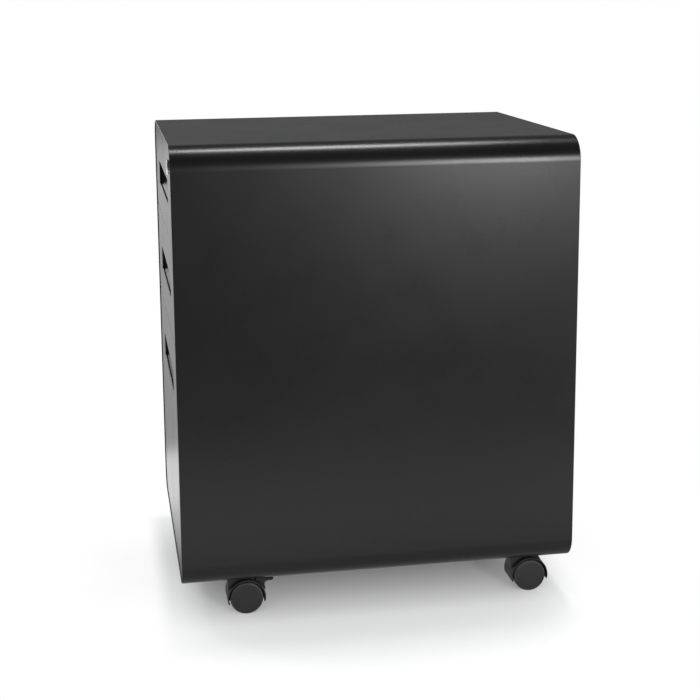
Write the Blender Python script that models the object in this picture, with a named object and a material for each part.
"""Rolling three-drawer pedestal cabinet, modelled as its separate pieces.

The frame: +Z up, the drawers open towards -Y, +X is the right-hand side seen from the front.
The origin is on the floor under the middle of the cabinet. Lengths are in millimetres and are
scaled to metres when a mesh is made. Everything is modelled at rest: drawers shut, lock open.
A span is a (low, high) pair of places along one axis.
"""

import math
from collections import namedtuple
from types import SimpleNamespace

import bpy
from mathutils import Vector

MM = 0.001
SIDES = (("left", -1), ("right", 1))

# ---------------------------------------------------------------- driving dimensions
WIDTH, DEPTH = 390.0, 500.0  # over the wrapped shell
HEIGHT = 600.0  # floor to top
FOOT = 52.0  # floor to the underside of the shell
BEND = 30.0  # outside radius of the four long bends
SHEET = 1.5  # shell thickness
RECESS = 1.3  # drawer fronts sit this far behind the shell's front edge
REVEAL = 1.2  # gap between a drawer front and the shell
SEAT_GAP = 0.3  # gap between the shell and the parts mounted inside it
THIN_SHEET = 1.2  # uprights and slides

HALF_WIDTH, HALF_DEPTH = WIDTH / 2, DEPTH / 2
SHELL_RECT = (-HALF_WIDTH, HALF_WIDTH, FOOT, HEIGHT)
FACE_Y = -HALF_DEPTH + RECESS
INNER_X = HALF_WIDTH - SHEET
STEM_X, STEM_Y = 144.6, 186.0  # caster stems, either side of the middle
LOCK_X, LOCK_Z = 161.0, 573.0

# ---------------------------------------------------------------- drawer dimensions
FRONT_T = 1.0  # drawer front sheet
FRONT_DEPTH = 19.5  # depth of the folded drawer front
FRONT_BEND = BEND - SHEET - REVEAL  # corner that follows the shell's bend
FRONT_SHARP = 1.6  # every other corner

GRIP_DROP = 47.8  # front's top edge to the top of its grip opening
GRIP_HALF, GRIP_H = 106.0, 31.0
GRIP_LIP = 2.6  # depth of the lip round the opening

TRAY_X, TRAY_Y_SPAN = 167.5, (-228.8, 205.0)
TRAY_T = 1.0
TAB_H = 6.0
TAB_X_END = 187.5
TAB_Y_SPAN = (-219.4, -217.4)

# A slide member is a C section: back of its web in X, its lips' edge in X, half its height,
# and its span in Y. The left slides mirror these.
Member = namedtuple("Member", "back lip half_height y_span")
TWO_PART = {
    "fixed": Member(181.2, 172.0, 17.5, (-214, 206)),
    "moving": Member(168.0, 177.0, 14.0, (-214.5, 186)),
}
THREE_PART = {
    "fixed": Member(181.2, 173.5, 22.5, (-214, 206)),
    "moving": Member(168.0, 176.2, 14.5, (-214.5, 186)),
    "middle": Member(178.8, 171.5, 19.0, (-212, 196)),
}

# Spans in Z of the front and tray; the front's (bottom, top) corner radii; the slide's middle;
# the underside of the lock tab.
Drawer = namedtuple("Drawer", "front corners tray slide slide_z tab_z")
DRAWERS = {
    "drawer_1": Drawer(
        front=(480.0, HEIGHT - SHEET - REVEAL), corners=(FRONT_SHARP, FRONT_BEND),
        tray=(489.0, 545.0), slide=TWO_PART, slide_z=508.0, tab_z=530.0),
    "drawer_2": Drawer(
        front=(356.8, 478.0), corners=(FRONT_SHARP, FRONT_SHARP),
        tray=(365.0, 450.0), slide=TWO_PART, slide_z=388.0, tab_z=412.0),
    "drawer_3": Drawer(
        front=(FOOT + SHEET + REVEAL, 354.2), corners=(FRONT_BEND, FRONT_SHARP),
        tray=(67.0, 296.0), slide=THREE_PART, slide_z=180.0, tab_z=240.0),
}


# ---------------------------------------------------------------- materials
def material(name, colour, roughness, metallic):
    made = bpy.data.materials.new(name)
    made.use_nodes = True
    shader = made.node_tree.nodes["Principled BSDF"]
    shader.inputs["Base Color"].default_value = (*colour, 1)
    shader.inputs["Roughness"].default_value = roughness
    shader.inputs["Metallic"].default_value = metallic
    made.diffuse_color = (*colour, 1)
    return made


def build_materials():
    return SimpleNamespace(
        paint=material("powder_coat_black", colour=(0.020, 0.020, 0.021),
                       roughness=0.36, metallic=0.0),
        tray=material("tray_paint_black", colour=(0.026, 0.026, 0.027),
                      roughness=0.45, metallic=0.0),
        plastic=material("moulded_plastic_black", colour=(0.016, 0.016, 0.016),
                         roughness=0.55, metallic=0.0),
        nylon=material("wheel_nylon_black", colour=(0.028, 0.028, 0.029),
                       roughness=0.5, metallic=0.0),
        zinc=material("zinc_plated_steel", colour=(0.52, 0.53, 0.54),
                      roughness=0.38, metallic=0.9),
        chrome=material("nickel_plated_lock", colour=(0.72, 0.72, 0.71),
                        roughness=0.16, metallic=1.0),
    )


# ---------------------------------------------------------------- objects
def world_place(obj):
    place = Vector(obj.location)
    while obj.parent is not None:
        obj = obj.parent
        place = place + Vector(obj.location)
    return place


def link(obj, origin, parent):
    """Puts an object in the scene at a world place, under its parent if it has one."""
    bpy.context.scene.collection.objects.link(obj)
    home = Vector(origin) * MM
    if parent is not None:
        obj.parent = parent
        home = home - world_place(parent)
    obj.location = home
    return obj


def pivot(name, origin, parent=None):
    empty = bpy.data.objects.new(name, None)
    empty.empty_display_size = 0.02
    return link(empty, origin, parent)


def soften(obj, degrees=38):
    """Shades smooth, keeping edges sharper than the angle crisp."""
    obj.data.shade_smooth()
    obj.data.set_sharp_from_angle(angle=math.radians(degrees))


def make(name, shape, finish=None, origin=(0, 0, 0), parent=None, smooth=False):
    """An object from (world points, faces), with its faces turned outwards."""
    points, faces = shape
    mesh = bpy.data.meshes.new(name)
    base = Vector(origin)
    mesh.from_pydata([(Vector(point) - base) * MM for point in points], [], faces)
    mesh.update()
    volume = 0.0
    for face in mesh.polygons:
        corners = [mesh.vertices[i].co for i in face.vertices]
        for second, third in zip(corners[1:-1], corners[2:]):
            volume += corners[0].dot(second.cross(third))
    if volume < 0:
        mesh.flip_normals()
    obj = link(bpy.data.objects.new(name, mesh), origin, parent)
    if finish is not None:
        mesh.materials.append(finish)
    if smooth:
        soften(obj)
    return obj


def boolean(obj, shape, operation):
    """Joins or cuts with the EXACT solver and keeps the result as the object's own mesh."""
    other = make("tool", shape)
    step = obj.modifiers.new("joined", "BOOLEAN")
    step.operation = operation
    step.solver = "EXACT"
    step.object = other
    bpy.context.view_layer.update()
    graph = bpy.context.evaluated_depsgraph_get()
    result = bpy.data.meshes.new_from_object(obj.evaluated_get(graph))
    obj.modifiers.clear()
    obj.data = result
    bpy.data.objects.remove(other, do_unlink=True)


def cut(obj, shape):
    boolean(obj, shape, "DIFFERENCE")


def join(obj, shape):
    boolean(obj, shape, "UNION")


# ---------------------------------------------------------------- outlines
def about(middle, half):
    """The span reaching `half` either side of `middle`."""
    return middle - half, middle + half


def four(value):
    return (value,) * 4


def mirrored(outline, side):
    return [(side * x, other) for x, other in outline]


def arc(radius, degrees):
    return [(radius * math.cos(math.radians(a)), radius * math.sin(math.radians(a)))
            for a in degrees]


def rounded(rect, radii, steps, inset=0.0):
    """A rounded (left, right, bottom, top); corners go anticlockwise from bottom left."""
    left, right = rect[0] + inset, rect[1] - inset
    bottom, top = rect[2] + inset, rect[3] - inset
    # corner, direction from it to the arc's centre, and the arc's first angle
    corners = [(left, bottom, 1, 1, 180), (right, bottom, -1, 1, 270),
               (right, top, -1, -1, 0), (left, top, 1, -1, 90)]
    outline = []
    for (across, up, to_x, to_y, start), radius, count in zip(corners, radii, steps):
        radius = max(radius - inset, 0.4)
        for k in range(count + 1):
            angle = math.radians(start + 90 * k / count)
            outline.append((across + to_x * radius + radius * math.cos(angle),
                            up + to_y * radius + radius * math.sin(angle)))
    return outline


def channel(member, z):
    """A C section in X-Z, its lips pointing from the back of its web to `lip`."""
    back, lip, half, _ = member
    web = back + math.copysign(THIN_SHEET, lip - back)
    low, high = about(z, half)
    return [(back, low), (back, high), (lip, high), (lip, high - THIN_SHEET),
            (web, high - THIN_SHEET), (web, low + THIN_SHEET), (lip, low + THIN_SHEET), (lip, low)]


# ---------------------------------------------------------------- shapes: (points, faces)
def lift(axis, at, along):
    """A point from its place along the axis and its two places across it, in X, Y, Z order."""
    first, second = at
    return {"x": (along, first, second), "y": (first, along, second),
            "z": (first, second, along)}[axis]


def skin(loops):
    """Loops of equal length joined in order, with the first and last filled."""
    count = len(loops[0])
    points = [point for loop in loops for point in loop]
    last = len(points) - count
    faces = [tuple(reversed(range(count)))]
    for base in range(0, last, count):
        for i in range(count):
            j = (i + 1) % count
            faces.append((base + i, base + j, base + count + j, base + count + i))
    faces.append(tuple(range(last, last + count)))
    return points, faces


def prism(outline, axis, span):
    """A flat outline pushed along an axis."""
    return skin([[lift(axis, at, along) for at in outline] for along in span])


def pan(rect, radii, steps, axis, rings):
    """A rounded rectangle carried through rings of (inset, place along the axis)."""
    return skin([[lift(axis, at, along) for at in rounded(rect, radii, steps, inset)]
                 for inset, along in rings])


def tube(outer, inner, axis, span):
    """The space between two outlines with the same number of points."""
    n = len(outer)
    points = [lift(axis, at, along) for along in span for loop in (outer, inner) for at in loop]
    faces = []
    for i in range(n):
        j = (i + 1) % n
        faces.append((i, j, n + j, n + i))
        faces.append((2 * n + i, 3 * n + i, 3 * n + j, 2 * n + j))
        faces.append((i, 2 * n + i, 2 * n + j, j))
        faces.append((n + i, n + j, 3 * n + j, 3 * n + i))
    return points, faces


def lathe(profile, axis, centre, sides, turn=0.0):
    """A profile of (radius, place along the axis) turned round the axis; open ends are filled."""
    points, rings = [], []
    for radius, along in profile:
        count = sides if radius > 0 else 1
        rings.append(range(len(points), len(points) + count))
        for k in range(count):
            angle = turn + 2 * math.pi * k / sides
            at = (centre[0] + radius * math.cos(angle), centre[1] + radius * math.sin(angle))
            points.append(lift(axis, at, along))
    faces = []
    if len(rings[0]) > 1 and len(rings[-1]) > 1:
        faces += [tuple(reversed(rings[0])), tuple(rings[-1])]
    for ring, after in zip(rings, rings[1:]):
        for k in range(sides):
            m = (k + 1) % sides
            if len(ring) == 1:
                faces.append((ring[0], after[m], after[k]))
            elif len(after) == 1:
                faces.append((ring[k], ring[m], after[0]))
            else:
                faces.append((ring[k], ring[m], after[m], after[k]))
    return points, faces


def disc(axis, centre, radius, span, sides):
    return lathe([(radius, along) for along in span], axis, centre, sides)


def box(x_span, y_span, z_span):
    (left, right), (front, back) = x_span, y_span
    return prism([(left, front), (right, front), (right, back), (left, back)], "z", z_span)


# ---------------------------------------------------------------- carcass
STEM_HOLE_R = 4.4

REAR_Y = HALF_DEPTH - 1.0  # rear face of the rear panel
REAR_T = 1.0
REAR_FOLD = 12.5

RAIL_X, RAIL_HALF = 164, 24  # half length and half width
RAIL_H, RAIL_T = 10, 2

UPRIGHT_X = 181.5  # face towards the drawers
UPRIGHT_Z_SPAN = (84, 568)
UPRIGHT_Y_SPANS = {"front": (-212.0, -182.0), "rear": (170.0, 200.0)}


def build_shell(paint):
    outer, inner = (rounded(SHELL_RECT, four(BEND), four(8), inset) for inset in (0.0, SHEET))
    shell = make("shell", tube(outer, inner, "y", (-HALF_DEPTH, HALF_DEPTH)), paint)
    for x in (-STEM_X, STEM_X):
        for y in (-STEM_Y, STEM_Y):
            cut(shell, disc("z", (x, y), STEM_HOLE_R, (FOOT - 3, FOOT + 6), 12))
    soften(shell)


def build_rear_panel(paint):
    """A shallow pan: its folded edge faces forward inside the shell."""
    edge = SHEET + SEAT_GAP
    rings = [(edge + 1.1, REAR_Y), (edge, REAR_Y - 0.8), (edge, REAR_Y - REAR_FOLD),
             (edge + REAR_T, REAR_Y - REAR_FOLD), (edge + REAR_T, REAR_Y - REAR_T)]
    panel = make("rear_panel", pan(SHELL_RECT, four(BEND), four(6), "y", rings), paint)
    soften(panel, 30)


def build_caster_rail(name, y, zinc):
    """An upturned channel across the floor of the shell, carrying two caster stems."""
    floor = FOOT + SHEET + SEAT_GAP
    front, back = about(y, RAIL_HALF)
    top, web = floor + RAIL_H, floor + RAIL_T
    outline = [(front, floor), (back, floor), (back, top), (back - RAIL_T, top),
               (back - RAIL_T, web), (front + RAIL_T, web), (front + RAIL_T, top), (front, top)]
    rail = make(name, prism(outline, "x", (-RAIL_X, RAIL_X)), zinc)
    for x in (-STEM_X, STEM_X):
        cut(rail, disc("z", (x, y), STEM_HOLE_R, (floor - 3, floor + 5), 12))


def build_uprights(zinc):
    """Four posts against the side walls carry the slides."""
    wall, face = INNER_X - SEAT_GAP, UPRIGHT_X
    for where, (front, back) in UPRIGHT_Y_SPANS.items():
        outline = [(wall, front), (wall, front + THIN_SHEET),
                   (face + THIN_SHEET, front + THIN_SHEET), (face + THIN_SHEET, back - THIN_SHEET),
                   (wall, back - THIN_SHEET), (wall, back), (face, back), (face, front)]
        for hand, side in SIDES:
            make(f"upright_{where}_{hand}", prism(mirrored(outline, side), "z", UPRIGHT_Z_SPAN),
                 zinc)


# ---------------------------------------------------------------- drawers
def grip_rect(drawer):
    top = drawer.front[1] - GRIP_DROP
    return -GRIP_HALF, GRIP_HALF, top - GRIP_H, top


def front_origin(drawer):
    return 0, FACE_Y, sum(drawer.front) / 2


def build_front(name, drawer, run, paint):
    half = INNER_X - REVEAL
    low_radius, high_radius = drawer.corners
    radii = (low_radius, low_radius, high_radius, high_radius)
    steps = tuple(8 if radius == FRONT_BEND else 3 for radius in radii)
    # (inset, depth behind the face)
    rings = [(1.3, 0.0), (0.4, 0.35), (0.0, 1.3), (0.0, FRONT_DEPTH), (FRONT_T, FRONT_DEPTH),
             (FRONT_T, FRONT_T + 0.2), (FRONT_T + 0.3, FRONT_T)]
    rings = [(inset, FACE_Y + depth) for inset, depth in rings]
    front = make(f"{name}_front", pan((-half, half, *drawer.front), radii, steps, "y", rings),
                 paint, front_origin(drawer), run)

    # the lip round the grip opening, then the opening through it
    lip, opening = (rounded(grip_rect(drawer), four(2.0), four(4), inset) for inset in (-1.0, 0.0))
    join(front, prism(lip, "y", (FACE_Y + 0.5, FACE_Y + GRIP_LIP)))
    cut(front, prism(opening, "y", (FACE_Y - 5, FACE_Y + 9)))
    if name == "drawer_1":
        cut(front, disc("y", (LOCK_X, LOCK_Z), LOCK_HEAD_R + 0.4, about(FACE_Y, 5), 32))
    soften(front, 30)


def build_grip_cup(name, drawer, run, plastic):
    """Moulded cup behind the grip opening."""
    left, right, low, high = grip_rect(drawer)
    margin = 2.8  # cup beyond the opening
    rect = (left - margin, right + margin, low - margin, high + margin)
    # (inset, depth behind the face)
    rings = [(1.8, 18.8), (0.5, 18.3), (0.0, 17.0), (0.0, 1.4), (1.4, 1.4), (1.4, 16.0),
             (1.9, 17.1), (3.0, 17.5)]
    rings = [(inset, FACE_Y + depth) for inset, depth in rings]
    cup = make(f"{name}_grip_cup", pan(rect, four(4.2), four(4), "y", rings), plastic,
               front_origin(drawer), run)

    # its floor climbs at 45 degrees from the lip to the back wall
    lead, back = FACE_Y + GRIP_LIP + 0.3, FACE_Y + 17.9
    sink = 1.45  # ramp let into the cup's walls
    ramp = [(lead, low - sink), (back - 0.9, low - sink), (back, low - 0.4),
            (back, low - 0.3 + back - lead), (lead, low - 0.3)]
    join(cup, prism(ramp, "x", about(0, GRIP_HALF + sink)))
    soften(cup, 30)


def build_tray(name, drawer, run, paint):
    """Folded tray, with a tab on its right side for the lock bar."""
    low, high = drawer.tray
    rings = [(2.0, low), (0.6, low + 0.6), (0.0, low + 2.0), (0.0, high), (TRAY_T, high),
             (TRAY_T, low + 2.0), (2.0, low + TRAY_T)]
    shape = pan((-TRAY_X, TRAY_X, *TRAY_Y_SPAN), four(2.5), four(2), "z", rings)
    tray = make(f"{name}_tray", shape, paint, (0, TRAY_Y_SPAN[0], low), run)
    join(tray, box((TRAY_X - 0.8, TAB_X_END), TAB_Y_SPAN, (drawer.tab_z, drawer.tab_z + TAB_H)))
    soften(tray, 30)


def build_file_rails(drawer, run, paint):
    """Folded rails over the tray's side walls, for hanging files."""
    low, high = drawer.tray
    under, top = high + 0.5, high + 2.0
    hook = [(164.9, 286), (165.9, 286), (165.9, under), (168.0, under),
            (168.0, 288), (169.0, 288), (169.0, top), (164.9, top)]  # x, z
    for hand, side in SIDES:
        make(f"file_rail_{hand}", prism(mirrored(hook, side), "y", (-222, 198)), paint,
             (0, TRAY_Y_SPAN[0], low), run)


def build_slides(name, drawer, runs, zinc):
    """Members listed in `runs` travel with that pivot; the others stay put."""
    for part, member in drawer.slide.items():
        parent = runs.get(part)
        origin = (0, 0, drawer.slide_z if parent else 0)
        for hand, side in SIDES:
            outline = mirrored(channel(member, drawer.slide_z), side)
            make(f"{name}_slide_{part}_{hand}", prism(outline, "y", member.y_span), zinc,
                 origin, parent)


def build_drawer(name, drawer, mats):
    home = (0, FACE_Y, drawer.slide_z)
    run = pivot(f"{name}_run", home)
    runs = {"moving": run}
    build_front(name, drawer, run, mats.paint)
    build_grip_cup(name, drawer, run, mats.plastic)
    build_tray(name, drawer, run, mats.tray)
    if name == "drawer_3":
        build_file_rails(drawer, run, mats.tray)
        runs["middle"] = pivot(f"{name}_middle_run", home)
    build_slides(name, drawer, runs, mats.zinc)


# ---------------------------------------------------------------- lock
LOCK_CENTRE = (LOCK_X, LOCK_Z)
LOCK_HEAD_R, LOCK_BARREL_R = 9.0, 7.3
LOCK_HEAD_Y = FACE_Y - 3.3
BARREL_END_Y = -226.6
HOUSING_Y_SPAN = (-228.7, -227.2)

CAM_Y_SPAN = (-226.3, -224.3)
CAM_THROW = 6.0  # lock axis to cam pin
CAM_REST = math.radians(45)
PIN_X = LOCK_X + CAM_THROW * math.cos(CAM_REST)
PIN_Z = LOCK_Z + CAM_THROW * math.sin(CAM_REST)

BAR_ORIGIN = (186.0, -223.5, 400.0)
BAR_Y_SPAN = (-223.5, -222.0)
BAR_CUT_Y_SPAN = (-230, -215)
BAR_OUTLINE = [  # x, z
    (182.0, 225), (191.7, 225), (191.7, 576), (186.5, 583), (160.3, 583), (160.3, 571),
    (182.0, 571),
]
SADDLE_OUTLINE = [  # x, y
    (193.0, -225.0), (193.0, -220.4), (190, -220.4), (190, -212.3), (184, -212.3),
    (184, -220.4), (180.4, -220.4), (180.4, -225.0), (181.6, -225.0), (181.6, -221.6),
    (192.1, -221.6), (192.1, -225.0),
]


def build_lock_housing(zinc):
    """Bracket behind the top right corner of drawer 1's front, with the lock's barrel."""
    front, back = HOUSING_Y_SPAN
    top = HEIGHT - SHEET - SEAT_GAP
    left, flange_right = 143, 164
    plate = [(left, 557), (173, 557), (173, 593), (flange_right, top), (left, top)]
    housing = make("lock_housing", prism(plate, "y", HOUSING_Y_SPAN), zinc)
    join(housing, box((left, flange_right), (front + 0.5, -206), (top - 1.5, top)))
    join(housing, disc("y", LOCK_CENTRE, 11.0, (FACE_Y + FRONT_T + 0.8, back - 0.5), 24))
    cut(housing, disc("y", LOCK_CENTRE, LOCK_BARREL_R + 0.3, (-260, -200), 24))
    soften(housing)


def build_lock_cylinder(turn_axis, chrome):
    head = LOCK_HEAD_Y
    profile = [(0, head), (7.4, head), (8.6, head + 0.25), (LOCK_HEAD_R, head + 1.0),
               (LOCK_HEAD_R, FACE_Y + 1.5), (LOCK_BARREL_R, FACE_Y + 1.5),
               (LOCK_BARREL_R, BARREL_END_Y), (0, BARREL_END_Y)]
    cylinder = make("lock_cylinder", lathe(profile, "y", LOCK_CENTRE, 24), chrome,
                    (LOCK_X, head, LOCK_Z), turn_axis)
    keyway = box(about(LOCK_X, 0.8), (head - 3, head + 6), about(LOCK_Z, 4.2))
    cut(cylinder, keyway)
    soften(cylinder)


def build_lock_cam(turn_axis, zinc):
    cam = make("lock_cam", disc("y", LOCK_CENTRE, 8.5, CAM_Y_SPAN, 24), zinc,
               (LOCK_X, CAM_Y_SPAN[0], LOCK_Z), turn_axis)
    join(cam, disc("y", (PIN_X, PIN_Z), 1.5, (-225.3, -219.9), 16))
    soften(cam)


def build_lock_bar(zinc):
    """The bar hangs from the cam pin; an opening drawer's tab passes through its notch."""
    bar = make("lock_bar", prism(BAR_OUTLINE, "y", BAR_Y_SPAN), zinc, BAR_ORIGIN,
               pivot("lock_bar_run", BAR_ORIGIN))
    gap = 1.2  # notch above and below a tab
    for drawer in DRAWERS.values():
        z_span = (drawer.tab_z - gap, drawer.tab_z + TAB_H + gap)
        cut(bar, box((178, 188.3), BAR_CUT_Y_SPAN, z_span))
    slot = (PIN_X - 1.9, LOCK_X + CAM_THROW + 1.9, *about(PIN_Z, 1.85))
    cut(bar, prism(rounded(slot, four(1.8), four(4)), "y", BAR_CUT_Y_SPAN))


def build_lock(mats):
    build_lock_housing(mats.zinc)
    turn_axis = pivot("lock_turn_axis", (LOCK_X, FACE_Y, LOCK_Z))
    build_lock_cylinder(turn_axis, mats.chrome)
    build_lock_cam(turn_axis, mats.zinc)
    build_lock_bar(mats.zinc)
    # the saddle keeps the bar against the front right post
    make("lock_bar_guide", prism(SADDLE_OUTLINE, "z", (330, 345)), mats.zinc)


# ---------------------------------------------------------------- casters
TRAIL = 18.6  # caster axle behind its stem
WHEEL_R = 21.0
AXLE_Z = WHEEL_R
WHEEL_SIDES = 24
CASTER_HALF = 18.0
HOOD_R, HOOD_IN = 24.4, 22.6
PEDAL_PIVOT = (14.5, 20.0)  # behind and above the axle

STEM_PROFILE = [  # radius, z
    (0, 25.0), (3.2, 25.0), (3.2, 48.4), (11.0, 48.4), (11.0, 51.7), (4.0, 51.7), (4.0, 56.1),
    (6.5, 56.1), (6.5, 61.5), (4.0, 61.5), (4.0, 64.3), (0, 64.3),
]
# Outlines below are (behind, above) the axle.
HOOD_ARCH = arc(HOOD_R, (-12.5, -4, 4, 13, 22, 31, 40, 50, 60, 70, 80, 90, 100, 110, 120, 130,
                         140, 149, 158, 167, 175, 182, 189, 196.5))
HOOD_CORE_BRAKED = [(-23.4, 5), (0, 5), (10.2, 12), (10.4, 21), (8.6, 27.1), (-20.9, 27.1),
                    (-23.2, 21.5)]
HOOD_CORE_PLAIN = [(-23.4, 5), (0, 0), (22.6, 8.0), (12.2, 27.1), (-20.9, 27.1), (-23.2, 21.5)]
PEDAL_SLOT = arc(20.6, (12.9, 22, 31, 40, 49, 57.8)) + [(10.97, 34), (40, 34), (40, 4.6)]
PEDAL = [(11.7, 20.0), (12.4, 18.2), (13.9, 17.5)]
PEDAL += arc(22.9, (46, 39, 32, 25, 17.5))
PEDAL += [
    (24.6, 7.4), (24.3, 10.2), (23.6, 12.8), (23.7, 14.9), (24.4, 16.8), (25.8, 18.0),
    (27.8, 18.5), (34.4, 18.4), (35.5, 18.9), (35.8, 19.7), (35.3, 20.5), (34.2, 20.8),
    (26.0, 21.1), (20.0, 22.2), (16.4, 23.0), (14.2, 22.8), (12.4, 21.8),
]


def across_caster(outline, x, axle, half):
    """An outline about the axle, pushed `half` either side of the caster's middle."""
    return prism([(axle[0] + behind, axle[1] + above) for behind, above in outline],
                 "x", about(x, half))


def build_hood(label, x, y, axle, braked, swivel, plastic):
    hood = make(f"caster_hood_{label}", across_caster(HOOD_ARCH, x, axle, CASTER_HALF), plastic,
                (x, y, AXLE_Z), swivel)
    join(hood, across_caster(HOOD_CORE_BRAKED if braked else HOOD_CORE_PLAIN, x, axle, 11))
    for _, side in SIDES:  # wheel wells
        span = sorted((x + side * 4.9, x + side * (CASTER_HALF + 2)))
        cut(hood, disc("x", axle, HOOD_IN, span, 48))
    cut(hood, disc("z", (x, y), 3.5, (24.6, 60), 16))
    cut(hood, disc("x", axle, 3.2, about(x, 12), 16))
    if braked:
        # the pedal's heel lies in a slot through the arch, over the wheels
        cut(hood, across_caster(PEDAL_SLOT, x, axle, 9.4))
    soften(hood, 30)


def build_wheels(label, x, axle, swivel, nylon):
    # a flat of the turned wheel rests on the floor, so its corners reach a little past its radius
    rim = WHEEL_R / math.cos(math.pi / WHEEL_SIDES)
    # radius, distance from the caster's middle
    profile = [(0, 18.1), (12.0, 18.0), (rim - 2.6, 17.7), (rim - 0.8, 16.8), (rim, 15.2),
               (rim, 7.4), (rim - 1.6, 5.8), (3.2, 5.8), (3.2, 15.5), (0, 15.5)]
    for hand, side in SIDES:
        spin = pivot(f"caster_spin_{label}_{hand}", (x, *axle), swivel)
        shape = lathe([(radius, x + side * out) for radius, out in profile], "x", axle,
                      WHEEL_SIDES, math.pi / WHEEL_SIDES)
        make(f"caster_wheel_{label}_{hand}", shape, nylon, (x, *axle), spin, smooth=True)


def build_brake(label, x, axle, swivel, plastic):
    origin = (x, axle[0] + PEDAL_PIVOT[0], axle[1] + PEDAL_PIVOT[1])
    hinge = pivot(f"brake_hinge_{label}", origin, swivel)
    pedal = make(f"brake_pedal_{label}", across_caster(PEDAL, x, axle, 9), plastic, origin, hinge)
    soften(pedal, 40)


def build_caster(label, x, y, braked, mats):
    base = (x, y, FOOT)
    axle = (y + TRAIL, AXLE_Z)  # y, z
    make(f"caster_stem_{label}", lathe(STEM_PROFILE, "z", (x, y), 16), mats.zinc, base,
         smooth=True)
    swivel = pivot(f"caster_swivel_{label}", base)
    build_hood(label, x, y, axle, braked, swivel, mats.plastic)
    rod = [(0, x - 15.0), (3.0, x - 15.0), (3.0, x + 15.0), (0, x + 15.0)]
    make(f"caster_axle_{label}", lathe(rod, "x", axle, 16), mats.zinc, (x, *axle), swivel,
         smooth=True)
    build_wheels(label, x, axle, swivel, mats.nylon)
    if braked:
        build_brake(label, x, axle, swivel, mats.plastic)


# ---------------------------------------------------------------- everything
def main():
    for obj in list(bpy.data.objects):
        bpy.data.objects.remove(obj, do_unlink=True)
    bpy.context.scene.unit_settings.scale_length = 1.0
    mats = build_materials()

    build_shell(mats.paint)
    build_rear_panel(mats.paint)
    build_uprights(mats.zinc)
    for name, drawer in DRAWERS.items():
        build_drawer(name, drawer, mats)
    build_lock(mats)
    for where, y, braked in (("front", -STEM_Y, True), ("rear", STEM_Y, False)):
        build_caster_rail(f"caster_rail_{where}", y, mats.zinc)
        for hand, side in SIDES:
            build_caster(f"{where}_{hand}", side * STEM_X, y, braked, mats)


main()
